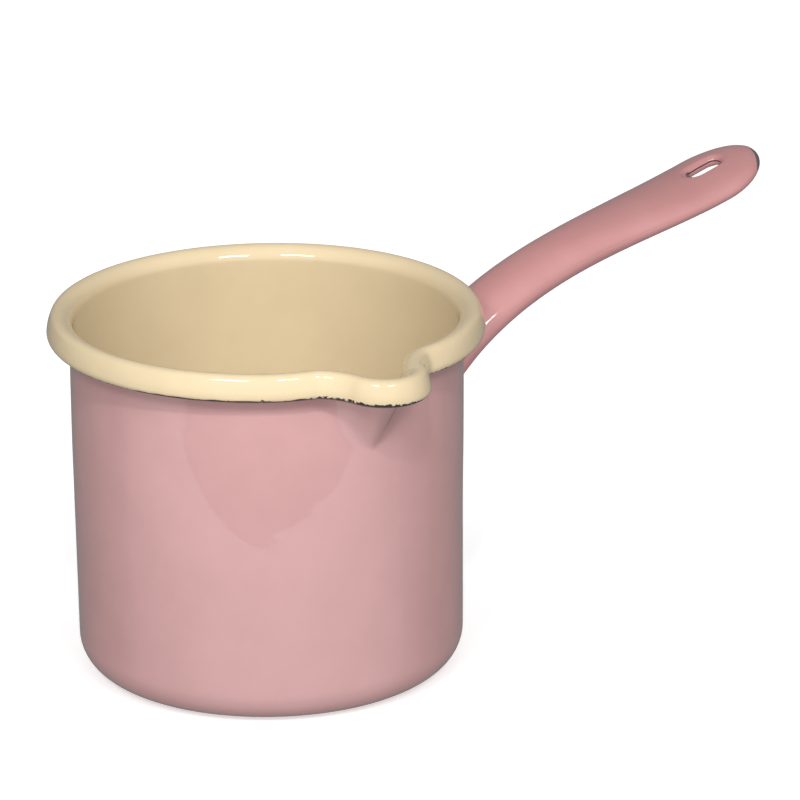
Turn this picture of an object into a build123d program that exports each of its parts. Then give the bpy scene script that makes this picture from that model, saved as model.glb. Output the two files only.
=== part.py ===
from build123d import *
import os
from math import acos, atan2, cos, degrees, radians, sin, sqrt, tan

# Enamelled steel pouring pot for melting wax: a deep-drawn pot with a pressed spout and a rolled rim,
# and a hollow handle of two pressed halves, welded on below the rim. Millimetres, +Z up.
# The origin is the middle of the base on the pot's axis. The handle points along +X, the spout along -Y.

# Sheet and coats, from the inner face of the pot outwards.
CREAM_COAT = 0.25
STEEL_GAUGE = 0.8
PINK_COAT = 0.25
STEEL_IN = CREAM_COAT
STEEL_OUT = CREAM_COAT + STEEL_GAUGE
WALL_BUILD = STEEL_OUT + PINK_COAT

# Pot
INNER_RADIUS = 60.0
FOOT_TAPER = 0.9
OUTER_CORNER_RADIUS = 11.0
RIM_BASE_HEIGHT = 111.6

# Spout: a nose arc that meets the round wall through two flank arcs.
SPOUT_FOOT_HEIGHT = 87.0
SPOUT_REACH = 14.6
NOSE_RADIUS = 6.2
NOSE_RADIUS_AT_FOOT = 3.0
FLANK_RADIUS = 21.3
SPOUT_STAGES = (0.01, 0.12, 0.35, 0.65, 1.0)

# Rolled rim, as radii and turns of the cream face from the wall outwards and down.
ROLL_INNER_RADIUS = 4.7
ROLL_CROWN_RADIUS = 2.4
ROLL_FACE_RADIUS = 14.0
ROLL_CORNER_RADIUS = 2.2
CROWN_END_ANGLE = 25.0
FACE_END_ANGLE = 5.0
CORNER_END_ANGLE = -100.0
ROLL_TAIL = 2.2

# Handle: a curved centreline in the XZ plane, oval sections across it.
HANDLE_ROOT = (49.0, 66.2)
HANDLE_ROOT_PULL = (77.8, 122.7)
HANDLE_TIP_PULL = (148.1, 115.2)
HANDLE_TIP = (185.2, 135.6)
ROOT_SIZE = (24.0, 15.0)
GRIP_SIZE = (23.0, 13.5)
END_SIZE = (31.0, 11.0)
GRIP_STATION = 0.5
END_STATION = 0.87
END_ROUND = 20.0
HANDLE_STATIONS = (0.0, 0.15, 0.3, 0.45, 0.6, 0.75, 0.88, 1.0)
TIP_STATIONS = (0.0, 0.35, 0.6, 0.78, 0.9, 0.965)
END_THINNING = 0.8
HANDLE_GAUGE = 0.8
SEAM_WELD_HEIGHT = 0.6
ROOT_WELD_RADIUS = 62.6
REGION_REACH = 60.0

# Hanging hole: a shallow dish from above and a deep one from below, pinched together at a short lip.
# Heights are above the handle's centreline, and angles are turned from the hole's axis.
HOLE_LENGTH = 12.2
HOLE_WIDTH = 5.8
HOLE_FROM_TIP = 18.9
HOLE_LIP_TOP = 4.4
HOLE_LIP_BASE = 2.1
DISH_ANGLE = 63.0
HOLE_CUT_REACH = 9.0


def wall_radius(height, build):
    """Radius of the wall at a height, for the face that lies a given build outside the inner face."""
    return INNER_RADIUS - FOOT_TAPER * (1 - height / RIM_BASE_HEIGHT) + build


def spout_outline(height, build, stage):
    """Outline of the pot across the spout, from nearly round at stage 0 to the full spout at stage 1."""
    radius = wall_radius(height, build)
    nose = NOSE_RADIUS_AT_FOOT + (NOSE_RADIUS - NOSE_RADIUS_AT_FOOT) * stage + build
    flank = FLANK_RADIUS - build
    reach = radius + SPOUT_REACH * stage - nose
    to_flank = radius + flank
    joined = nose + flank
    main_turn = acos((to_flank**2 + reach**2 - joined**2) / (2 * to_flank * reach))
    flank_x = to_flank * sin(main_turn)
    flank_y = -to_flank * cos(main_turn)
    nose_side = degrees(atan2(flank_y + reach, flank_x))
    towards_nose = degrees(atan2(-reach - flank_y, -flank_x))
    towards_axis = degrees(atan2(-flank_y, -flank_x))
    sweep_back = (towards_axis - towards_nose + 180) % 360 - 180
    main_degrees = degrees(main_turn)
    CenterArc((0, -reach), nose, -180 - nose_side, 180 + 2 * nose_side)
    CenterArc((flank_x, flank_y), flank, towards_nose, sweep_back)
    CenterArc((0, 0), radius, -90 + main_degrees, 360 - 2 * main_degrees)
    CenterArc((-flank_x, flank_y), flank, 180 - towards_axis, sweep_back)


def build_pot_solid(build):
    """The pot as a filled solid up to the foot of the rolled rim, for one face of the wall."""
    base = WALL_BUILD - build
    with BuildPart() as solid:
        with BuildSketch(Plane.XZ):
            with BuildLine():
                profile = FilletPolyline(
                    (0, base),
                    (wall_radius(0, build), base),
                    (wall_radius(SPOUT_FOOT_HEIGHT, build), SPOUT_FOOT_HEIGHT),
                    radius=OUTER_CORNER_RADIUS - base,
                )
                Polyline(profile @ 1, (0, SPOUT_FOOT_HEIGHT), profile @ 0)
            make_face()
        revolve(axis=Axis.Z)
        for stage in SPOUT_STAGES:
            height = SPOUT_FOOT_HEIGHT + (RIM_BASE_HEIGHT - SPOUT_FOOT_HEIGHT) * stage
            if stage == SPOUT_STAGES[0]:
                height = SPOUT_FOOT_HEIGHT
            with BuildSketch(Plane.XY.offset(height)):
                with BuildLine():
                    spout_outline(height, build, stage)
                make_face()
        loft(ruled=True)
    return solid.part


def polar(centre, radius, angle):
    """A point at an angle on a circle in the section plane of the rim."""
    return (centre[0] + radius * cos(radians(angle)), centre[1] + radius * sin(radians(angle)))


def roll_arcs():
    """Centre, radius, first and last angle of the rim's arcs, from the wall to the corner underneath."""
    wall_top = (INNER_RADIUS + ROLL_INNER_RADIUS, RIM_BASE_HEIGHT)
    crown = (wall_top[0], wall_top[1] + ROLL_INNER_RADIUS - ROLL_CROWN_RADIUS)
    face = polar(crown, ROLL_CROWN_RADIUS - ROLL_FACE_RADIUS, CROWN_END_ANGLE)
    corner = polar(face, ROLL_FACE_RADIUS - ROLL_CORNER_RADIUS, FACE_END_ANGLE)
    return (
        (wall_top, ROLL_INNER_RADIUS, 180.0, 90.0),
        (crown, ROLL_CROWN_RADIUS, 90.0, CROWN_END_ANGLE),
        (face, ROLL_FACE_RADIUS, CROWN_END_ANGLE, FACE_END_ANGLE),
        (corner, ROLL_CORNER_RADIUS, FACE_END_ANGLE, CORNER_END_ANGLE),
    )


def roll_band(arcs, near, far, tail):
    """Closed section of one layer of the rim between two depths under its cream face."""
    for centre, radius, first, last in arcs:
        CenterArc(centre, radius - near, first, last - first)
        CenterArc(centre, radius - far, first, last - first)
    start, start_radius, start_angle, _ = arcs[0]
    end, end_radius, _, end_angle = arcs[-1]
    Line(polar(start, start_radius - near, start_angle), polar(start, start_radius - far, start_angle))
    near_end = polar(end, end_radius - near, end_angle)
    far_end = polar(end, end_radius - far, end_angle)
    if tail == 0:
        Line(near_end, far_end)
        return
    inward = radians(end_angle - 90)
    shift = (tail * cos(inward), tail * sin(inward))
    near_tail = (near_end[0] + shift[0], near_end[1] + shift[1])
    far_tail = (far_end[0] + shift[0], far_end[1] + shift[1])
    Polyline(near_end, near_tail, far_tail, far_end)


def build_roll(arcs, near, far, tail):
    """One layer of the rolled rim, swept round the pot and out over the spout."""
    with BuildPart() as roll:
        with BuildLine(Plane.XY.offset(RIM_BASE_HEIGHT)) as path:
            spout_outline(RIM_BASE_HEIGHT, 0, 1.0)
        with BuildSketch(Plane.YZ):
            with BuildLine():
                roll_band(arcs, near, far, tail)
            make_face()
        sweep(path=path.wires()[0])
    return roll.part


def write(part, label):
    """Name a finished piece and write its STEP file."""
    part.label = label
    export_step(part, f"parts/{label}.step")
    print(label, round(part.volume, 1), len(part.solids()), part.is_valid)


def handle_curve():
    """The handle's centreline, from inside the wall to the tip."""
    return Bezier(HANDLE_ROOT, HANDLE_ROOT_PULL, HANDLE_TIP_PULL, HANDLE_TIP)


def blend_sizes(station):
    """Full width and thickness of the handle at a station, before its end is rounded."""
    if station < GRIP_STATION:
        share = station / GRIP_STATION
        first, last = ROOT_SIZE, GRIP_SIZE
    else:
        share = min((station - GRIP_STATION) / (END_STATION - GRIP_STATION), 1.0)
        first, last = GRIP_SIZE, END_SIZE
    ease = share * share * (3 - 2 * share)
    return tuple(first[i] + (last[i] - first[i]) * ease for i in range(2))


def build_handle_solid(curve, inset):
    """The handle as a filled solid, a given distance under its finished surface."""
    length = curve.length
    round_start = 1 - END_ROUND / length
    tip_share = (END_ROUND - inset) / length
    stations = [(round_start * place, 0.0) for place in HANDLE_STATIONS]
    stations += [(round_start + tip_share * turn, turn) for turn in TIP_STATIONS[1:]]
    with BuildPart() as solid:
        for station, turn in stations:
            width, thickness = blend_sizes(station)
            closing = sqrt(1 - turn * turn)
            across = (width / 2 - inset) * closing
            deep = (thickness / 2 - inset) * closing**END_THINNING
            with BuildSketch(Plane(curve @ station, x_dir=(0, 1, 0), z_dir=curve % station)):
                Ellipse(across, deep)
        loft()
    return solid.part


def build_region(upper):
    """All space above or below the seam of the handle's two halves."""
    lift = SEAM_WELD_HEIGHT / 2 if upper else -SEAM_WELD_HEIGHT / 2
    far = REGION_REACH if upper else -REGION_REACH
    with BuildPart() as region:
        with BuildSketch(Plane(origin=(0, 0, lift), x_dir=(1, 0, 0), z_dir=(0, -1, 0))):
            with BuildLine():
                middle = handle_curve()
                beyond = Line(middle @ 1, middle @ 1 + (middle % 1) * REGION_REACH)
                Polyline(beyond @ 1, beyond @ 1 + (0, far), middle @ 0 + (0, far), middle @ 0)
            make_face()
        extrude(amount=REGION_REACH, both=True)
    return region.part


def build_hole(plane, wall):
    """The space of the hanging hole right through the handle, its walls moved back by a given amount."""
    lip_shift = wall * tan(radians(DISH_ANGLE / 2))
    lip_top = HOLE_LIP_TOP - lip_shift
    lip_base = HOLE_LIP_BASE + lip_shift
    dish_growth = wall + HOLE_CUT_REACH * tan(radians(DISH_ANGLE))
    stages = (
        (lip_base - HOLE_CUT_REACH, dish_growth),
        (lip_base, wall),
        (lip_top, wall),
        (lip_top + HOLE_CUT_REACH, dish_growth),
    )
    with BuildPart() as hole:
        for height, growth in stages:
            with BuildSketch(plane.offset(height)):
                SlotOverall(HOLE_LENGTH + 2 * growth, HOLE_WIDTH + 2 * growth)
        loft(ruled=True)
    return hole.part


def build_root_disc():
    """A disc as tall as the handle's root, which bounds the weld that joins it to the wall."""
    with BuildPart() as disc:
        with BuildSketch():
            Circle(ROOT_WELD_RADIUS)
        extrude(amount=RIM_BASE_HEIGHT)
    return disc.part


os.makedirs("parts", exist_ok=True)

inner_face = build_pot_solid(0)
steel_inner_face = build_pot_solid(STEEL_IN)
steel_outer_face = build_pot_solid(STEEL_OUT)
outer_face = build_pot_solid(WALL_BUILD)
rim_arcs = roll_arcs()

with BuildLine(Plane.XZ) as centreline:
    handle_curve()
handle_line = centreline.edges()[0]
handle_outer = build_handle_solid(handle_line, 0)
handle_steel = build_handle_solid(handle_line, PINK_COAT)
handle_hollow = build_handle_solid(handle_line, PINK_COAT + HANDLE_GAUGE)
hole_station = 1 - HOLE_FROM_TIP / handle_line.length
hole_axis_x = handle_line % hole_station
hole_plane = Plane(handle_line @ hole_station, x_dir=hole_axis_x, z_dir=hole_axis_x.cross(Vector(0, 1, 0)))
hole_clear = build_hole(hole_plane, 0)
hole_in_steel = build_hole(hole_plane, PINK_COAT)
hole_flange = build_hole(hole_plane, PINK_COAT + HANDLE_GAUGE)
root_disc = build_root_disc()
above_seam = build_region(True)
below_seam = build_region(False)

# Cream enamel: the floor, the wall and over the rolled rim as far as the corner.
with BuildPart() as interior_enamel:
    add(steel_inner_face)
    add(inner_face, mode=Mode.SUBTRACT)
    add(build_roll(rim_arcs[:-1], 0, CREAM_COAT, 0))
write(interior_enamel.part, "interior_enamel")

# Drawn steel pot with its spout and curled rim.
with BuildPart() as pot_shell:
    add(steel_outer_face)
    add(steel_inner_face, mode=Mode.SUBTRACT)
    add(build_roll(rim_arcs, STEEL_IN, STEEL_OUT, ROLL_TAIL))
write(pot_shell.part, "pot_shell")

# Dark ground coat, bare along the lower corner of the rim.
with BuildPart() as rim_ground_coat:
    add(build_roll(rim_arcs[-1:], 0, CREAM_COAT, ROLL_TAIL))
write(rim_ground_coat.part, "rim_ground_coat")

# Pink enamel on the outside of the pot, open where the handle's root is welded on.
with BuildPart() as exterior_enamel:
    add(outer_face)
    add(steel_outer_face, mode=Mode.SUBTRACT)
    add(handle_steel, mode=Mode.SUBTRACT)
write(exterior_enamel.part, "exterior_enamel")

# The handle's pressed steel as one hollow skin, flanged round the hanging hole.
with BuildPart() as handle_cavity:
    add(handle_hollow)
    add(hole_flange, mode=Mode.SUBTRACT)
with BuildPart() as handle_pressing:
    add(handle_steel)
    add(handle_cavity.part, mode=Mode.SUBTRACT)
    add(hole_in_steel, mode=Mode.SUBTRACT)

# Weld between the handle's root and the wall.
with BuildPart() as handle_root_weld:
    add(handle_pressing.part)
    add(root_disc, mode=Mode.INTERSECT)
    add(steel_outer_face, mode=Mode.SUBTRACT)
write(handle_root_weld.part, "handle_root_weld")

# Upper and lower pressings, and the weld along their seam.
with BuildPart() as handle_upper_shell:
    add(handle_pressing.part)
    add(root_disc, mode=Mode.SUBTRACT)
    add(above_seam, mode=Mode.INTERSECT)
write(handle_upper_shell.part, "handle_upper_shell")

with BuildPart() as handle_lower_shell:
    add(handle_pressing.part)
    add(root_disc, mode=Mode.SUBTRACT)
    add(below_seam, mode=Mode.INTERSECT)
write(handle_lower_shell.part, "handle_lower_shell")

with BuildPart() as handle_seam_weld:
    add(handle_pressing.part)
    add(root_disc, mode=Mode.SUBTRACT)
    add(above_seam, mode=Mode.SUBTRACT)
    add(below_seam, mode=Mode.SUBTRACT)
write(handle_seam_weld.part, "handle_seam_weld")

# Pink enamel over the handle and through its hanging hole.
with BuildPart() as handle_core:
    add(handle_steel)
    add(hole_in_steel, mode=Mode.SUBTRACT)
with BuildPart() as handle_enamel:
    add(handle_outer)
    add(handle_core.part, mode=Mode.SUBTRACT)
    add(hole_clear, mode=Mode.SUBTRACT)
    add(outer_face, mode=Mode.SUBTRACT)
write(handle_enamel.part, "handle_enamel")
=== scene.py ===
import math

import bmesh
import bpy
import numpy as np
from mathutils import Matrix, Vector


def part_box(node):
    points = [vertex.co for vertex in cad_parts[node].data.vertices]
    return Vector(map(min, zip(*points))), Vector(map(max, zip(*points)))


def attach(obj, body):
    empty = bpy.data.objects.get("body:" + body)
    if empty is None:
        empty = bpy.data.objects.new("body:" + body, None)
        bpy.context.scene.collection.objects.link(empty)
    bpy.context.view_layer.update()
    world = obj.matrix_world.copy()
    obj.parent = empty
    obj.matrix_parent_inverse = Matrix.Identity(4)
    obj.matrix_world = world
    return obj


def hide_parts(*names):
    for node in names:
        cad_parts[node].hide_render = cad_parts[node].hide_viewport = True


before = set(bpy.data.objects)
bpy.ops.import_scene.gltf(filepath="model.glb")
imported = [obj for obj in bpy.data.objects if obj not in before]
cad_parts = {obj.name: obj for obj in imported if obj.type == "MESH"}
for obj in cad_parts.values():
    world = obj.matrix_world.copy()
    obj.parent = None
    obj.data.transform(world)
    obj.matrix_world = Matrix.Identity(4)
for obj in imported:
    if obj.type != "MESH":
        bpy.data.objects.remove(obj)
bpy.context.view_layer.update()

MM = 0.001

# ---------------------------------------------------------------- sizes, in millimetres, from the frame


def node_box(node):
    """Lowest and highest corner of a CAD node in millimetres."""
    low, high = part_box(node)
    return np.array(low) / MM, np.array(high) / MM


WALL_LOW, WALL_HIGH = node_box("exterior_enamel")
SHELL_LOW, SHELL_HIGH = node_box("pot_shell")
CREAM_LOW, CREAM_HIGH = node_box("interior_enamel")
HANDLE_LOW, HANDLE_HIGH = node_box("handle_enamel")

COAT = SHELL_LOW[2]
WALL_BUILD = CREAM_LOW[2] + COAT
STEEL_IN = COAT
STEEL_OUT = WALL_BUILD - COAT
INNER_RADIUS = WALL_HIGH[0] - WALL_BUILD
RIM_BASE = WALL_HIGH[2]
SPOUT_REACH = -WALL_LOW[1] - WALL_HIGH[0]
ROLL_TOP = CREAM_HIGH[2]
ROLL_INNER = ROLL_TOP - RIM_BASE

FOOT_TAPER = 0.9
OUTER_CORNER = 11.0
SPOUT_FOOT = 87.0
NOSE_RADIUS = 6.2
NOSE_RADIUS_AT_FOOT = 3.0
FOOT_EASE = 0.10
FLANK_RADIUS = 21.3
FLANK_PULL = 1.2
FLANK_PULL_ANGLE = math.radians(16.5)
FLANK_PULL_WIDTH = math.radians(8.0)
NOSE_DIP = 0.6
NOSE_DIP_WIDTH = math.radians(9.0)

ROLL_CROWN = 2.4
ROLL_FACE = 14.0
ROLL_CORNER = 2.2
CROWN_END = 25.0
FACE_END = 5.0
CORNER_END = -100.0
ROLL_TAIL = 2.2


# ---------------------------------------------------------------- shape of the pot


def waves(count, low, high, seed):
    """Random directions, frequencies and phases for a smooth sum of sines."""
    random = np.random.default_rng(seed)
    angle = random.uniform(0, 2 * math.pi, count)
    size = random.uniform(low, high, count)
    phase = random.uniform(0, 2 * math.pi, count)
    weight = random.uniform(0.5, 1.0, count)
    return angle, size, phase, weight / np.sqrt((weight**2).sum() / 2)


def ripple(a, b, table):
    """Value of a sum of sines at (a, b) in millimetres, with a spread of about one."""
    angle, size, phase, weight = table
    total = np.zeros(np.broadcast(a, b).shape)
    for i in range(len(angle)):
        along = a * math.cos(angle[i]) + b * math.sin(angle[i])
        total = total + weight[i] * np.sin(2 * math.pi * along / size[i] + phase[i])
    return total


def round_noise(theta, seed, count, lowest, highest):
    """Periodic noise round the pot, with a spread of about one."""
    random = np.random.default_rng(seed)
    turns = random.integers(lowest, highest, count)
    phase = random.uniform(0, 2 * math.pi, count)
    return sum(np.sin(t * theta + p) for t, p in zip(turns, phase)) / math.sqrt(count / 2)


def wall_radius(height, build):
    """Radius of the plain wall at a height."""
    return INNER_RADIUS - FOOT_TAPER * (1 - height / RIM_BASE) + build


def outline_radius(theta, height, build):
    """Radius of the wall at an angle from the spout's middle."""
    turn = np.abs((theta + math.pi) % (2 * math.pi) - math.pi)
    height = np.minimum(height, RIM_BASE)
    rise = np.clip((height - SPOUT_FOOT) / (RIM_BASE - SPOUT_FOOT), 0.0, 1.0)
    stage = np.maximum(rise**2 / (rise + FOOT_EASE) * (1 + FOOT_EASE), 1e-4)
    radius = wall_radius(height, build)
    nose = NOSE_RADIUS_AT_FOOT + (NOSE_RADIUS - NOSE_RADIUS_AT_FOOT) * stage + build
    flank = FLANK_RADIUS - build
    reach = radius + SPOUT_REACH * stage - nose
    far = radius + flank
    joined = nose + flank
    main_turn = np.arccos(np.clip((far**2 + reach**2 - joined**2) / (2 * far * reach), -1, 1))
    join_x = reach + (far * np.cos(main_turn) - reach) * nose / joined
    join_y = far * np.sin(main_turn) * nose / joined
    join_turn = np.arctan2(join_y, join_x)
    on_nose = reach * np.cos(turn) + np.sqrt(np.maximum(nose**2 - (reach * np.sin(turn)) ** 2, 0))
    gap = main_turn - turn
    on_flank = far * np.cos(gap) - np.sqrt(np.maximum(flank**2 - (far * np.sin(gap)) ** 2, 0))
    result = np.where(turn < join_turn, on_nose, np.where(turn < main_turn, on_flank, radius))
    pull = np.exp(-(((turn - FLANK_PULL_ANGLE) / FLANK_PULL_WIDTH) ** 2))
    return result - FLANK_PULL * pull * stage


def outline_angles():
    """Angles round the pot from the spout's middle, close together where the spout bends."""
    half = [np.linspace(0, 8, 40), np.linspace(8, 24, 40)[1:], np.linspace(24, 180, 130)[1:]]
    side = np.radians(np.concatenate(half))
    return np.concatenate([side, -side[-2:0:-1]])


THETA = outline_angles()
ROUND = len(THETA)


def place(theta, radius, height):
    """Points of the object from an angle round the spout, a radius and a height."""
    across = radius * np.sin(theta)
    forward = -radius * np.cos(theta)
    return np.stack([across, forward, height + np.zeros_like(across)], axis=-1)


def plan_normals(points):
    """Outward plan normals along a closed outline."""
    step = np.roll(points, -1, axis=0) - np.roll(points, 1, axis=0)
    normal = np.stack([step[:, 1], -step[:, 0], np.zeros(len(step))], axis=-1)
    normal /= np.linalg.norm(normal, axis=1)[:, None]
    outward = (normal * points).sum(axis=1)
    return normal * np.sign(outward)[:, None]


RIM_LINE = place(THETA, outline_radius(THETA, RIM_BASE, 0), RIM_BASE)
RIM_NORMALS = plan_normals(RIM_LINE)


def polar(centre, radius, angle):
    """A point on a circle of the rim's section."""
    turn = math.radians(angle)
    return centre[0] + radius * math.cos(turn), centre[1] + radius * math.sin(turn)


WALL_TOP = (ROLL_INNER, 0.0)
CROWN = (WALL_TOP[0], ROLL_INNER - ROLL_CROWN)
FACE = polar(CROWN, ROLL_CROWN - ROLL_FACE, CROWN_END)
CORNER = polar(FACE, ROLL_FACE - ROLL_CORNER, FACE_END)
ROLL_ARCS = (
    (WALL_TOP, ROLL_INNER, 180.0, 90.0, 14),
    (CROWN, ROLL_CROWN, 90.0, CROWN_END, 9),
    (FACE, ROLL_FACE, CROWN_END, FACE_END, 10),
)


def roll_profile(depth):
    """Section of the rim from the wall to the start of its corner, as (out, up) from the rim line."""
    points = []
    for centre, radius, first, last, count in ROLL_ARCS:
        for angle in np.linspace(first, last, count + 1)[1:]:
            points.append(polar(centre, radius - depth, angle))
    return points


def dip(theta):
    """How much the rim drops towards the spout's nose."""
    turn = np.abs((theta + math.pi) % (2 * math.pi) - math.pi)
    return NOSE_DIP * np.exp(-((turn / NOSE_DIP_WIDTH) ** 2))


def rim_ring(out, up):
    """One ring of rim points; out and up may be numbers or one value for each angle."""
    out = np.asarray(out) + np.zeros(ROUND)
    up = np.asarray(up) + np.zeros(ROUND)
    ring = RIM_LINE + RIM_NORMALS * out[:, None]
    ring[:, 2] += up - dip(THETA) - RIM_WOBBLE
    return ring


RIM_SWING = 0.12
RIM_WOBBLE = RIM_SWING * (1 + round_noise(THETA, 5, 5, 2, 6) / 3)

WALL_WAVES = waves(9, 26.0, 70.0, 3)
WALL_FINE = waves(10, 12.0, 26.0, 4)
FINE_SWING = 0.012
INNER_SWING = 0.05
OUTER_SWING = 0.10
SWING_FADE_LOW = 15
SWING_FADE_HIGH = 12
WAVE_SKEW = (0.6, 0.5)


def wall_heights():
    """Heights of the wall's rings, from the corner's end to the rim, closer together at the spout."""
    low = np.linspace(OUTER_CORNER, SPOUT_FOOT - 3, 60)
    return np.concatenate([low, np.linspace(SPOUT_FOOT - 3, RIM_BASE, 34)[1:]])


def body_rings(build, swing):
    """Rings of one face of the pot, from the middle of the base to the foot of the rim."""
    base = WALL_BUILD - build
    corner = OUTER_CORNER - base
    foot = wall_radius(OUTER_CORNER, build)
    rings = []
    for radius in np.linspace(1.5, foot - corner, 26):
        rings.append(place(THETA, radius + np.zeros(ROUND), base))
    for angle in np.linspace(-90, 0, 15)[1:-1]:
        out = foot - corner + corner * math.cos(math.radians(angle))
        up = base + corner + corner * math.sin(math.radians(angle))
        rings.append(place(THETA, out + np.zeros(ROUND), up))
    for height in wall_heights():
        radius = outline_radius(THETA, height, build)
        fade = min(1.0, (height - OUTER_CORNER) / SWING_FADE_LOW)
        fade = fade * min(1.0, (RIM_BASE + 2 - height) / SWING_FADE_HIGH)
        arc = THETA * INNER_RADIUS
        sway = swing * ripple_round(arc, height, WALL_WAVES)
        if build == WALL_BUILD:
            sway = sway + FINE_SWING * ripple_round(arc, height, WALL_FINE)
        top_dip = dip(THETA) + RIM_WOBBLE
        share = np.clip((height - SPOUT_FOOT) / (RIM_BASE - SPOUT_FOOT), 0, 1)
        rings.append(place(THETA, radius + sway * fade, height - share * top_dip))
    return rings


def ripple_round(arc, height, table):
    """Waves of the wall that meet themselves at the back of the pot."""
    turn = arc / INNER_RADIUS
    x = INNER_RADIUS * np.sin(turn)
    y = -INNER_RADIUS * np.cos(turn)
    return ripple(x + WAVE_SKEW[0] * height, y - WAVE_SKEW[1] * height, table)


# ---------------------------------------------------------------- mesh building


def make_object(name, vertices, faces, smooth=True):
    """A mesh object in metres from millimetre points."""
    mesh = bpy.data.meshes.new(name)
    mesh.from_pydata([tuple(v * MM for v in vertex) for vertex in vertices], [], faces)
    mesh.validate()
    mesh.update()
    obj = bpy.data.objects.new(name, mesh)
    bpy.context.collection.objects.link(obj)
    if smooth:
        for polygon in mesh.polygons:
            polygon.use_smooth = True
    return obj


def ring_faces(count, rings, offset=0):
    """Quads between neighbouring rings."""
    faces = []
    for r in range(rings - 1):
        for i in range(count):
            j = (i + 1) % count
            a = offset + r * count
            faces.append((a + i, a + j, a + count + j, a + count + i))
    return faces


def closed_layer(name, front, back, centre_heights=None):
    """A closed skin from its front rings and its back rings, which run the same way."""
    rings = list(front) + list(back[::-1])
    vertices = [tuple(point) for ring in rings for point in ring]
    faces = ring_faces(ROUND, len(rings))
    last = (len(rings) - 1) * ROUND
    if centre_heights is None:
        for i in range(ROUND):
            j = (i + 1) % ROUND
            faces.append((last + i, last + j, j, i))
    else:
        first_middle = len(vertices)
        vertices.append((0.0, 0.0, centre_heights[0]))
        vertices.append((0.0, 0.0, centre_heights[1]))
        for i in range(ROUND):
            j = (i + 1) % ROUND
            faces.append((first_middle, j, i))
            faces.append((last + i, last + j, first_middle + 1))
    obj = make_object(name, vertices, faces)
    outward(obj)
    return obj


def ragged_edge():
    """Angle of the cream coat's edge on the rim's lower corner, for each angle round the pot."""
    slow = round_noise(THETA, 21, 5, 2, 7)
    quick = round_noise(THETA, 22, 9, 18, 70)
    return EDGE_MIDDLE - EDGE_SLOW * np.tanh(slow) + EDGE_QUICK * quick


EDGE_MIDDLE = -46.0
EDGE_SLOW = 12.0
EDGE_QUICK = 4.0
EDGE_LOWEST = -75
EDGE_HIGHEST = -22
EDGE_ANGLE = np.clip(ragged_edge(), EDGE_LOWEST, EDGE_HIGHEST)


def corner_rings(depth, first, last, count):
    """Rings round the rim's lower corner; first and last may change round the pot."""
    rings = []
    for share in np.linspace(0, 1, count):
        angle = np.radians(first + (last - first) * share)
        out = CORNER[0] + (ROLL_CORNER - depth) * np.cos(angle)
        up = CORNER[1] + (ROLL_CORNER - depth) * np.sin(angle)
        rings.append(rim_ring(out, up))
    return rings


def tail_ring(depth):
    """The free edge of the curled sheet under the rim."""
    inward = math.radians(CORNER_END - 90)
    out, up = polar(CORNER, ROLL_CORNER - depth, CORNER_END)
    return rim_ring(out + ROLL_TAIL * math.cos(inward), up + ROLL_TAIL * math.sin(inward))


def build_cream():
    """The cream coat, from the middle of the base over the rim to its ragged lower edge."""
    layers = []
    for depth in (0.0, COAT):
        rings = body_rings(depth, INNER_SWING)
        rings += [rim_ring(*point) for point in roll_profile(depth)]
        rings += corner_rings(depth, FACE_END, EDGE_ANGLE, 6)[1:]
        layers.append(rings)
    floor = (WALL_BUILD, WALL_BUILD - COAT)
    return closed_layer("cream_coat", layers[0], layers[1], floor)


def build_steel():
    """The steel pot with its rolled rim and the tail of the curl."""
    layers = []
    for depth in (STEEL_IN, STEEL_OUT):
        rings = body_rings(depth, INNER_SWING)
        rings += [rim_ring(*point) for point in roll_profile(depth)]
        rings += corner_rings(depth, FACE_END, CORNER_END, 12)[1:]
        rings.append(tail_ring(depth))
        layers.append(rings)
    floor = (WALL_BUILD - STEEL_IN, WALL_BUILD - STEEL_OUT)
    return closed_layer("steel_pressing", layers[0], layers[1], floor)


def build_ground_coat():
    """The dark coat from the cream coat's edge to the end of the curl."""
    layers = []
    for depth in (0.0, COAT):
        rings = corner_rings(depth, EDGE_ANGLE, CORNER_END, 12)
        rings.append(tail_ring(depth))
        layers.append(rings)
    return closed_layer("ground_coat", layers[0], layers[1])


def build_pink_wall():
    """The pink coat on the outside of the pot."""
    layers = [body_rings(WALL_BUILD, OUTER_SWING), body_rings(STEEL_OUT, INNER_SWING)]
    return closed_layer("pink_coat", layers[0], layers[1], (0.0, WALL_BUILD - STEEL_OUT))


# ---------------------------------------------------------------- handle

TIP_BULGE = 0.65
HANDLE_TIP = np.array([HANDLE_HIGH[0] - TIP_BULGE, 135.45])
HANDLE_ROOT = np.array([49.0, 66.2])
HANDLE_ROOT_PULL = np.array([77.8, 122.7])
HANDLE_TIP_PULL = np.array([148.1, 115.2])
ROOT_SIZE = (24.0, 15.0)
GRIP_SIZE = (23.0, 13.5)
END_SIZE = (31.0, 11.0)
GRIP_STATION = 0.5
END_STATION = 0.87
END_ROUND = 20.0
END_THINNING = 0.8
HOLE_LENGTH = 12.2
HOLE_WIDTH = 5.8
HOLE_FROM_TIP = 18.9
HOLE_LIP_TOP = 4.4
HOLE_LIP_BASE = 2.1
DISH_ANGLE = math.radians(63.0)
LIP_EASE = 0.24
SEAM_DROP = 0.55
SEAM_WIDTH = 0.26
SEAM_REACH = 7.0
SEAM_WANDER = 0.00022
SEAM_SHADE_GAIN = 2.0
SEAM_SHADE_MOST = 0.92
# Colour of the joint line in the hanging hole: partly the joint, partly painted shade of the gap between
# the pressings.
SEAM_SHADE_COLOUR = (0.02, 0.012, 0.012, 1)
CHIP_DROP = 1.66
CHIP_FACING = -0.1
CHIP_SLOW = 2.0
CHIP_FINE = 2.6
CHIP_SPECK = 1.6
CHIP_BAND = 5.0
CHIP_FROM_WALL = 3.5
CHIP_DARK = (0.018, 0.014, 0.012, 1)
HANDLE_VOXEL = 0.42
EVEN_ROUNDS = 6
EVEN_IN = 0.5
EVEN_OUT = -0.52
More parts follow.
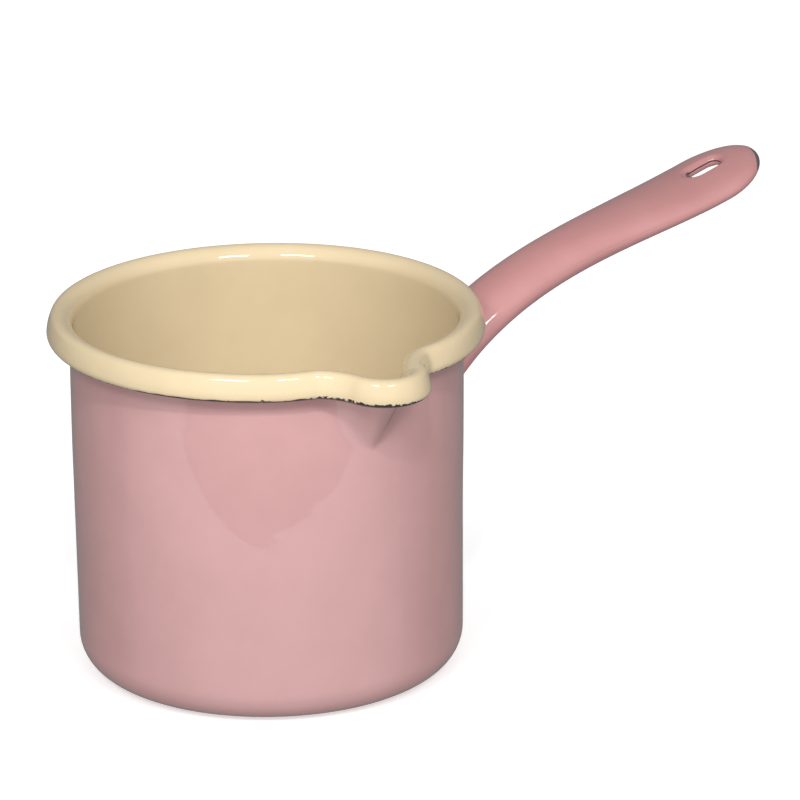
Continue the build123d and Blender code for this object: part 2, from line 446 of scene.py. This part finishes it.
LINE_POINTS = 260
TUBE_SIDES = 72
HOLE_SIDES = 96
HOLE_LEVELS = 91
HOLE_CUT_REACH = 9
ROOT_SINK = 0.1


def bezier(share):
    """Points of the handle's centreline in the XZ plane."""
    share = np.asarray(share)[..., None]
    rest = 1 - share
    first = rest**3 * HANDLE_ROOT + 3 * rest**2 * share * HANDLE_ROOT_PULL
    return first + 3 * rest * share**2 * HANDLE_TIP_PULL + share**3 * HANDLE_TIP


def handle_line(count):
    """Evenly spaced points, tangents and the length of the handle's centreline."""
    raw = bezier(np.linspace(0, 1, 2000))
    run = np.concatenate([[0], np.cumsum(np.linalg.norm(np.diff(raw, axis=0), axis=1))])
    at = np.linspace(0, run[-1], count)
    points = np.stack([np.interp(at, run, raw[:, 0]), np.interp(at, run, raw[:, 1])], axis=-1)
    tangents = np.gradient(points, axis=0)
    tangents /= np.linalg.norm(tangents, axis=1)[:, None]
    return points, tangents, run[-1], at


def smooth_step(share):
    """An eased step from zero to one."""
    share = np.clip(share, 0, 1)
    return share * share * (3 - 2 * share)


def handle_sizes(at, length):
    """Width and thickness along the handle, with its end rounded off."""
    station = at / length
    to_grip = smooth_step(station / GRIP_STATION)
    to_end = smooth_step((station - GRIP_STATION) / (END_STATION - GRIP_STATION))
    sizes = []
    for i in range(2):
        size = ROOT_SIZE[i] + (GRIP_SIZE[i] - ROOT_SIZE[i]) * to_grip
        size = size + (END_SIZE[i] - GRIP_SIZE[i]) * to_end
        sizes.append(size)
    turn = np.clip((at - (length - END_ROUND)) / END_ROUND, 0, 1)
    closing = np.sqrt(np.maximum(1 - turn**2, 0))
    return sizes[0] * closing, sizes[1] * closing**END_THINNING


def handle_station(distance):
    """Point and tangent of the centreline in the XZ plane at a distance along it."""
    points, tangents, _, at = handle_line(LINE_POINTS)
    point = np.array([np.interp(distance, at, points[:, 0]), np.interp(distance, at, points[:, 1])])
    along = np.array([np.interp(distance, at, tangents[:, 0]), np.interp(distance, at, tangents[:, 1])])
    return point, along / np.linalg.norm(along)


HANDLE_LENGTH = handle_line(LINE_POINTS)[2]
HOLE_CENTRE, HOLE_ALONG = handle_station(HANDLE_LENGTH - HOLE_FROM_TIP)


def handle_tube(inset):
    """The handle as a closed tube of oval sections, a given depth under its surface."""
    _, _, length, at = handle_line(LINE_POINTS)
    fine = length - END_ROUND * (1 - np.sin(np.linspace(0, math.pi / 2, 40)))
    stations = np.concatenate([at[at < length - END_ROUND], fine[:-1]])
    stations = stations[stations < length - inset - 0.01]
    width, thick = handle_sizes(stations, length)
    count = TUBE_SIDES
    angle = np.linspace(0, 2 * math.pi, count, endpoint=False)
    vertices = []
    for i, station in enumerate(stations):
        point, along = handle_station(station)
        side = np.cos(angle) * max(width[i] / 2 - inset, 0.05)
        lift = np.sin(angle) * max(thick[i] / 2 - inset, 0.05)
        vertices += list(zip(point[0] - along[1] * lift, side, point[1] + along[0] * lift))
    faces = ring_faces(count, len(stations))
    last = (len(stations) - 1) * count
    faces.append(tuple(range(count))[::-1])
    faces.append(tuple(range(last, last + count)))
    return make_object("handle_tube", vertices, faces)


def soft_ramp(value):
    """Zero below zero and the value itself above, with an eased turn between."""
    return LIP_EASE * np.logaddexp(0, value / LIP_EASE)


def hole_cutter(wall):
    """The hanging hole: dished from both faces and pinched at its lip."""
    count = HOLE_SIDES
    lip_top = HOLE_LIP_TOP - wall * math.tan(DISH_ANGLE / 2)
    lip_base = HOLE_LIP_BASE + wall * math.tan(DISH_ANGLE / 2)
    levels = np.linspace(-HOLE_CUT_REACH, HOLE_CUT_REACH, HOLE_LEVELS)
    growth = wall + math.tan(DISH_ANGLE) * (soft_ramp(levels - lip_top) + soft_ramp(lip_base - levels))
    angle = np.linspace(0, 2 * math.pi, count, endpoint=False)
    straight = (HOLE_LENGTH - HOLE_WIDTH) / 2
    vertices = []
    for level, grown in zip(levels, growth):
        u = (HOLE_WIDTH / 2 + grown) * np.cos(angle) + straight * np.tanh(5 * np.cos(angle))
        w = (HOLE_WIDTH / 2 + grown) * np.sin(angle)
        x = HOLE_CENTRE[0] + HOLE_ALONG[0] * u - HOLE_ALONG[1] * level
        z = HOLE_CENTRE[1] + HOLE_ALONG[1] * u + HOLE_ALONG[0] * level
        vertices += list(zip(x, w, z))
    faces = ring_faces(count, len(levels))
    faces.append(tuple(range(count))[::-1])
    faces.append(tuple(range((len(levels) - 1) * count, len(levels) * count)))
    return make_object("hole_cutter", vertices, faces)


def outward(obj):
    """Turn a closed mesh's faces outwards."""
    tidy = bmesh.new()
    tidy.from_mesh(obj.data)
    bmesh.ops.recalc_face_normals(tidy, faces=tidy.faces)
    tidy.to_mesh(obj.data)
    tidy.free()


def apply_modifiers(obj):
    """Replace an object's mesh by its evaluated mesh and drop its modifiers."""
    bpy.context.view_layer.update()
    graph = bpy.context.evaluated_depsgraph_get()
    mesh = bpy.data.meshes.new_from_object(obj.evaluated_get(graph))
    old = obj.data
    obj.modifiers.clear()
    obj.data = mesh
    bpy.data.meshes.remove(old)


def add_boolean(obj, operation, other):
    cut = obj.modifiers.new("cut", "BOOLEAN")
    cut.operation = operation
    cut.solver = "EXACT"
    cut.object = other


def mesh_points(obj):
    """A mesh's vertices as an array."""
    coords = np.empty(len(obj.data.vertices) * 3)
    obj.data.vertices.foreach_get("co", coords)
    return coords.reshape(-1, 3)


def handle_surface(inset, hole_wall):
    """Evenly meshed surface of the handle with its hole, a given depth under the finished face."""
    body = handle_tube(inset)
    cutter = hole_cutter(hole_wall)
    outward(body)
    outward(cutter)
    add_boolean(body, "DIFFERENCE", cutter)
    even = body.modifiers.new("even", "REMESH")
    even.mode = "VOXEL"
    even.voxel_size = HANDLE_VOXEL * MM
    for _ in range(EVEN_ROUNDS):
        for factor in (EVEN_IN, EVEN_OUT):
            soft = body.modifiers.new("soft", "SMOOTH")
            soft.factor = factor
            soft.iterations = 1
    apply_modifiers(body)
    bpy.data.objects.remove(cutter)
    coords = mesh_points(body)
    radius = np.hypot(coords[:, 0], coords[:, 1])
    seat = (INNER_RADIUS + STEEL_OUT - ROOT_SINK + inset) * MM
    inside = radius < seat
    coords[inside, :2] *= (seat / radius[inside])[:, None]
    body.data.vertices.foreach_set("co", coords.ravel())
    body.data.update()
    return body


def nest(outer, inner, name):
    """One closed skin from an outer surface and an inner one."""
    skin = bmesh.new()
    skin.from_mesh(inner.data)
    bmesh.ops.reverse_faces(skin, faces=skin.faces)
    skin.from_mesh(outer.data)
    mesh = bpy.data.meshes.new(name)
    skin.to_mesh(mesh)
    skin.free()
    obj = bpy.data.objects.new(name, mesh)
    bpy.context.collection.objects.link(obj)
    for polygon in mesh.polygons:
        polygon.use_smooth = True
    return obj


def build_handle():
    """The handle's coat."""
    face = handle_surface(0.0, 0.0)
    under_coat = handle_surface(COAT, COAT)
    coat = nest(face, under_coat, "pink_handle")
    for spare in (face, under_coat):
        bpy.data.objects.remove(spare)
    return coat


# ---------------------------------------------------------------- materials


def new_material(name):
    """A node material with its tree and its shader."""
    material = bpy.data.materials.new(name)
    material.use_nodes = True
    tree = material.node_tree
    shader = tree.nodes["Principled BSDF"]
    return material, tree, shader


def add_node(tree, kind, **values):
    node = tree.nodes.new(kind)
    for key, value in values.items():
        if hasattr(node, key):
            setattr(node, key, value)
        else:
            node.inputs[key].default_value = value
    return node


def math_node(tree, operation, first, second):
    """A math node fed by a socket and a number, or by two sockets."""
    node = add_node(tree, "ShaderNodeMath", operation=operation)
    for index, value in enumerate((first, second)):
        if isinstance(value, (int, float)):
            node.inputs[index].default_value = value
        else:
            tree.links.new(value, node.inputs[index])
    return node.outputs["Value"]


def paint_over(tree, strength, colour, shader, paint):
    """Lay a dark colour over the coat's own where the strength is above zero."""
    mix = add_node(tree, "ShaderNodeMix", data_type="RGBA")
    mix.inputs[7].default_value = paint
    tree.links.new(strength, mix.inputs[0])
    tree.links.new(colour, mix.inputs[6])
    tree.links.new(mix.outputs[2], shader.inputs["Base Color"])


def add_seam_shade(tree, coords, colour, shader):
    """The thin dark joint of the two pressings in the wall of the hanging hole, painted dark partly as
    the shade in the gap between them.
    """
    up = (-HOLE_ALONG[1], 0.0, HOLE_ALONG[0])
    lip = HOLE_CENTRE + HOLE_LIP_TOP * np.array([-HOLE_ALONG[1], HOLE_ALONG[0]])
    offset = add_node(tree, "ShaderNodeVectorMath", operation="SUBTRACT")
    offset.inputs[1].default_value = (lip[0] * MM, 0.0, lip[1] * MM)
    tree.links.new(coords.outputs["Object"], offset.inputs[0])
    height = add_node(tree, "ShaderNodeVectorMath", operation="DOT_PRODUCT")
    height.inputs[1].default_value = up
    tree.links.new(offset.outputs["Vector"], height.inputs[0])
    reach = add_node(tree, "ShaderNodeVectorMath", operation="LENGTH")
    tree.links.new(offset.outputs["Vector"], reach.inputs[0])
    wander = add_node(tree, "ShaderNodeTexNoise", Scale=260.0, Detail=2.0)
    tree.links.new(coords.outputs["Object"], wander.inputs["Vector"])
    shift = math_node(tree, "MULTIPLY", wander.outputs["Fac"], SEAM_WANDER)
    shifted = math_node(tree, "ADD", height.outputs["Value"], shift)
    centred = math_node(tree, "ADD", shifted, SEAM_DROP * MM)
    distance = math_node(tree, "ABSOLUTE", centred, 0.0)
    near = math_node(tree, "SUBTRACT", 1.0, math_node(tree, "DIVIDE", distance, SEAM_WIDTH * MM))
    inside = math_node(tree, "LESS_THAN", reach.outputs["Value"], SEAM_REACH * MM)
    strength = math_node(tree, "MULTIPLY", math_node(tree, "MAXIMUM", near, 0.0), inside)
    strength = math_node(tree, "MINIMUM", math_node(tree, "MULTIPLY", strength, SEAM_SHADE_GAIN), SEAM_SHADE_MOST)
    # Painted shade: the joint line is darkened as the shade in the gap between the pressings.
    paint_over(tree, strength, colour, shader, SEAM_SHADE_COLOUR)


def add_chips(tree, coords, colour, shader):
    """Fine dark teeth along the coat's lower edge on the rim, where the ground coat shows."""
    parts = add_node(tree, "ShaderNodeSeparateXYZ")
    tree.links.new(coords.outputs["Object"], parts.inputs[0])
    total = None
    for scale, weight in ((38.0, CHIP_SLOW), (620.0, CHIP_FINE), (1500.0, CHIP_SPECK)):
        noise = add_node(tree, "ShaderNodeTexNoise", Scale=scale, Detail=1.5)
        tree.links.new(coords.outputs["Object"], noise.inputs["Vector"])
        centred = math_node(tree, "SUBTRACT", noise.outputs["Fac"], 0.5)
        part = math_node(tree, "MULTIPLY", centred, weight * MM)
        total = part if total is None else math_node(tree, "ADD", total, part)
    limit = math_node(tree, "ADD", total, (RIM_BASE + CORNER[1] - CHIP_DROP) * MM)
    dark = math_node(tree, "LESS_THAN", parts.outputs["Z"], limit)
    outside = math_node(tree, "GREATER_THAN", parts.outputs["Z"], (RIM_BASE - CHIP_BAND) * MM)
    radius = add_node(tree, "ShaderNodeCombineXYZ")
    tree.links.new(parts.outputs["X"], radius.inputs[0])
    tree.links.new(parts.outputs["Y"], radius.inputs[1])
    reach = add_node(tree, "ShaderNodeVectorMath", operation="LENGTH")
    tree.links.new(radius.outputs["Vector"], reach.inputs[0])
    on_rim = math_node(tree, "GREATER_THAN", reach.outputs["Value"], (INNER_RADIUS + CHIP_FROM_WALL) * MM)
    facing = add_node(tree, "ShaderNodeSeparateXYZ")
    tree.links.new(coords.outputs["Normal"], facing.inputs[0])
    # The spout's channel lies at the same height and reach, but faces up.
    under = math_node(tree, "LESS_THAN", facing.outputs["Z"], CHIP_FACING)
    strength = math_node(tree, "MULTIPLY", math_node(tree, "MULTIPLY", dark, outside), on_rim)
    strength = math_node(tree, "MULTIPLY", strength, under)
    paint_over(tree, strength, colour, shader, CHIP_DARK)


def enamel(name, deep, light, roughness, peel, seam_shade=False, chips=False):
    """Glossy vitreous enamel with faint mottling and orange peel."""
    material, tree, shader = new_material(name)
    links = tree.links
    coords = add_node(tree, "ShaderNodeTexCoord")
    mottle = add_node(tree, "ShaderNodeTexNoise", Scale=55.0, Detail=4.0, Roughness=0.6)
    ramp = add_node(tree, "ShaderNodeValToRGB")
    ramp.color_ramp.elements[0].position = 0.3
    ramp.color_ramp.elements[0].color = (*deep, 1)
    ramp.color_ramp.elements[1].position = 0.7
    ramp.color_ramp.elements[1].color = (*light, 1)
    links.new(coords.outputs["Object"], mottle.inputs["Vector"])
    links.new(mottle.outputs["Fac"], ramp.inputs["Fac"])
    links.new(ramp.outputs["Color"], shader.inputs["Base Color"])
    if seam_shade:
        add_seam_shade(tree, coords, ramp.outputs["Color"], shader)
    if chips:
        add_chips(tree, coords, ramp.outputs["Color"], shader)
    fine = add_node(tree, "ShaderNodeTexNoise", Scale=420.0, Detail=2.0, Roughness=0.5)
    links.new(coords.outputs["Object"], fine.inputs["Vector"])
    bump = add_node(tree, "ShaderNodeBump", Strength=peel, Distance=0.0003)
    links.new(fine.outputs["Fac"], bump.inputs["Height"])
    links.new(bump.outputs["Normal"], shader.inputs["Normal"])
    shader.inputs["Roughness"].default_value = roughness
    shader.inputs["IOR"].default_value = 1.5
    return material


PINK = enamel("pink_enamel", (0.475, 0.272, 0.268), (0.505, 0.292, 0.288), 0.03, 0.05)
# The handle's coat carries the joint line of its hanging hole, painted dark partly as the shade in the
# gap.
HANDLE_PINK = enamel("handle_enamel", (0.475, 0.225, 0.22), (0.505, 0.245, 0.24), 0.045, 0.06, seam_shade=True)
CREAM = enamel("cream_enamel", (0.575, 0.465, 0.295), (0.605, 0.49, 0.315), 0.03, 0.05, chips=True)
DARK = enamel("ground_enamel", (0.012, 0.010, 0.009), (0.03, 0.025, 0.022), 0.22, 0.6)
STEEL = enamel("bare_steel", (0.30, 0.30, 0.31), (0.36, 0.36, 0.37), 0.35, 0.4)
STEEL.node_tree.nodes["Principled BSDF"].inputs["Metallic"].default_value = 1.0


def finish_piece(piece, material, slot, *nodes):
    piece.data.materials.clear()
    piece.data.materials.append(material)
    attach(piece, "root")
    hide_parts(*nodes)


cream = build_cream()
finish_piece(cream, CREAM, "cream_enamel", "interior_enamel")
steel = build_steel()
finish_piece(steel, STEEL, "bare_steel", "pot_shell")
ground = build_ground_coat()
finish_piece(ground, DARK, "ground_coat", "rim_ground_coat")
wall = build_pink_wall()
finish_piece(wall, PINK, "pink_enamel", "exterior_enamel")
handle = build_handle()
finish_piece(handle, HANDLE_PINK, "pink_enamel", "handle_enamel")
for kept in ("handle_root_weld", "handle_upper_shell", "handle_lower_shell", "handle_seam_weld"):
    for material_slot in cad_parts[kept].material_slots:
        material_slot.material = STEEL

# ---------------------------------------------------------------- stage, light and camera

SPOUT_TURN = math.radians(31.0)


def view_point(x, y, z):
    """A point given in the camera's own plan axes, with +X to its right and +Y away from it."""
    c, s = math.cos(-SPOUT_TURN), math.sin(-SPOUT_TURN)
    return Vector((c * x - s * y, s * x + c * y, z))


def add_floor():
    """A plain pale floor just under the object."""
    mesh = bpy.data.meshes.new("floor")
    build = bmesh.new()
    bmesh.ops.create_grid(build, x_segments=8, y_segments=8, size=4.0)
    build.to_mesh(mesh)
    build.free()
    floor = bpy.data.objects.new("floor", mesh)
    bpy.context.collection.objects.link(floor)
    material, tree, shader = new_material("floor_paper")
    shader.inputs["Base Color"].default_value = (0.8, 0.8, 0.8, 1)
    shader.inputs["Roughness"].default_value = 0.9
    shader.inputs["Emission Color"].default_value = (1, 1, 1, 1)
    shader.inputs["Emission Strength"].default_value = FLOOR_GLOW
    grain = add_node(tree, "ShaderNodeTexNoise", Scale=300.0)
    bump = add_node(tree, "ShaderNodeBump", Strength=0.05, Distance=0.0002)
    tree.links.new(grain.outputs["Fac"], bump.inputs["Height"])
    tree.links.new(bump.outputs["Normal"], shader.inputs["Normal"])
    mesh.materials.append(material)
    floor.location.z = -0.0002
    return floor


def add_softbox(name, at, target, width, height, power):
    light = bpy.data.lights.new(name, "AREA")
    light.shape = "RECTANGLE"
    light.size = width
    light.size_y = height
    light.energy = power
    obj = bpy.data.objects.new(name, light)
    obj.location = at
    obj.rotation_euler = (target - at).to_track_quat("-Z", "Y").to_euler()
    bpy.context.collection.objects.link(obj)
    return obj


def add_snoot():
    """A soft spot from above the camera that reaches down through the mouth to the inner wall."""
    light = bpy.data.lights.new("snoot", "SPOT")
    light.energy = SNOOT_POWER
    light.spot_size = SNOOT_SPREAD
    light.spot_blend = 1.0
    light.shadow_soft_size = 0.05
    obj = bpy.data.objects.new("snoot", light)
    obj.location = view_point(0, -0.85, 0.95)
    aim = view_point(0, 0.055, 0.062)
    obj.rotation_euler = (aim - obj.location).to_track_quat("-Z", "Y").to_euler()
    obj.visible_glossy = False
    bpy.context.collection.objects.link(obj)


def add_glossy_card(name, vertices, faces, strength):
    """A flat card of even brightness that only shows in reflections."""
    mesh = bpy.data.meshes.new(name)
    mesh.from_pydata(vertices, [], faces)
    obj = bpy.data.objects.new(name, mesh)
    bpy.context.collection.objects.link(obj)
    material, _, shader = new_material(name)
    shader.inputs["Base Color"].default_value = (0.0, 0.0, 0.0, 1)
    shader.inputs["Roughness"].default_value = 1.0
    shader.inputs["Emission Color"].default_value = (1, 1, 1, 1)
    shader.inputs["Emission Strength"].default_value = strength
    mesh.materials.append(material)
    obj.visible_camera = False
    obj.visible_diffuse = False
    obj.visible_shadow = False


def add_table_edge():
    """A dim card in front of the object, which only shows as a dark reflection in its wall."""
    near, far, half = -TABLE_FRONT, -TABLE_FAR, TABLE_HALF_WIDTH
    corners = ((-half, near), (half, near), (half, far), (-half, far))
    vertices = [view_point(x, y, 0.0) for x, y in corners]
    add_glossy_card("table_edge", vertices, [(0, 1, 2, 3)], TABLE_DIM)


def add_studio():
    """A studio that is bright in front of the object and dim at its sides and behind it."""
    world = bpy.data.worlds.new("studio")
    world.use_nodes = True
    bpy.context.scene.world = world
    tree = world.node_tree
    coords = add_node(tree, "ShaderNodeTexCoord")
    front = add_node(tree, "ShaderNodeVectorMath", operation="DOT_PRODUCT")
    front.inputs[1].default_value = view_point(0, -1, 0)
    tree.links.new(coords.outputs["Generated"], front.inputs[0])
    height = add_node(tree, "ShaderNodeSeparateXYZ")
    tree.links.new(coords.outputs["Generated"], height.inputs[0])
    plan = math_node(tree, "MULTIPLY", front.outputs["Value"], STUDIO_FRONT)
    above = math_node(tree, "MULTIPLY", math_node(tree, "MAXIMUM", height.outputs["Z"], 0.0), STUDIO_TOP)
    total = math_node(tree, "ADD", math_node(tree, "ADD", plan, above), STUDIO_BASE)
    total = math_node(tree, "MAXIMUM", total, STUDIO_BACK)
    tree.links.new(total, tree.nodes["Background"].inputs["Strength"])
    tree.nodes["Background"].inputs["Color"].default_value = (1, 1, 1, 1)


STUDIO_BASE = 0.40
STUDIO_FRONT = 0.82
STUDIO_TOP = 0.20
STUDIO_BACK = 0.25
TABLE_FRONT = 0.215
TABLE_FAR = 2.4
TABLE_HALF_WIDTH = 1.6
TABLE_DIM = 0.03
FLOOR_GLOW = 0.5
SNOOT_POWER = 44
SNOOT_SPREAD = math.radians(7.4)
SOFTBOX_POWER = 6.1
GLINT_POWER = 7.5
SOFTBOX_HEIGHT = 0.26
AIM = Vector((0, 0, 0.1))

floor = add_floor()
floor.visible_glossy = False
floor.visible_diffuse = False
add_table_edge()
add_studio()
add_snoot()
for side, across, width in (("left", -0.44, 0.46), ("right", 0.42, 0.42)):
    place_at = view_point(across, -1.12, 1.0)
    add_softbox("softbox_" + side, place_at, AIM, width, SOFTBOX_HEIGHT, SOFTBOX_POWER)
    glint = add_softbox("glint_" + side, place_at, AIM, width, SOFTBOX_HEIGHT, GLINT_POWER)
    glint.visible_diffuse = False

CAMERA_LENS = 270.0
CAMERA_PITCH = 0.3362
CAMERA_YAW = 0.0234
CAMERA_ROLL = -0.01
CAMERA_BACK = 1.7666
CAMERA_UP = 0.7023


def add_camera():
    """The camera at the viewing angle."""
    camera = bpy.data.cameras.new("camera")
    camera.lens = CAMERA_LENS
    camera.sensor_width = 36.0
    camera.clip_end = 20.0
    obj = bpy.data.objects.new("camera", camera)
    obj.location = view_point(0, -CAMERA_BACK, CAMERA_UP)
    forward = Vector(
        (
            math.sin(CAMERA_YAW) * math.cos(CAMERA_PITCH),
            math.cos(CAMERA_YAW) * math.cos(CAMERA_PITCH),
            -math.sin(CAMERA_PITCH),
        )
    )
    right = Vector((math.cos(CAMERA_YAW), -math.sin(CAMERA_YAW), 0))
    up = right.cross(forward)
    turned_right = right * math.cos(CAMERA_ROLL) + up * math.sin(CAMERA_ROLL)
    turned_up = up * math.cos(CAMERA_ROLL) - right * math.sin(CAMERA_ROLL)
    axes = [view_point(*axis) for axis in (turned_right, turned_up, -forward)]
    obj.rotation_mode = "QUATERNION"
    turn = Matrix((axes[0], axes[1], axes[2])).transposed()
    obj.rotation_quaternion = turn.to_quaternion()
    bpy.context.collection.objects.link(obj)
    bpy.context.scene.camera = obj


add_camera()
bpy.context.scene.view_settings.view_transform = "Standard"
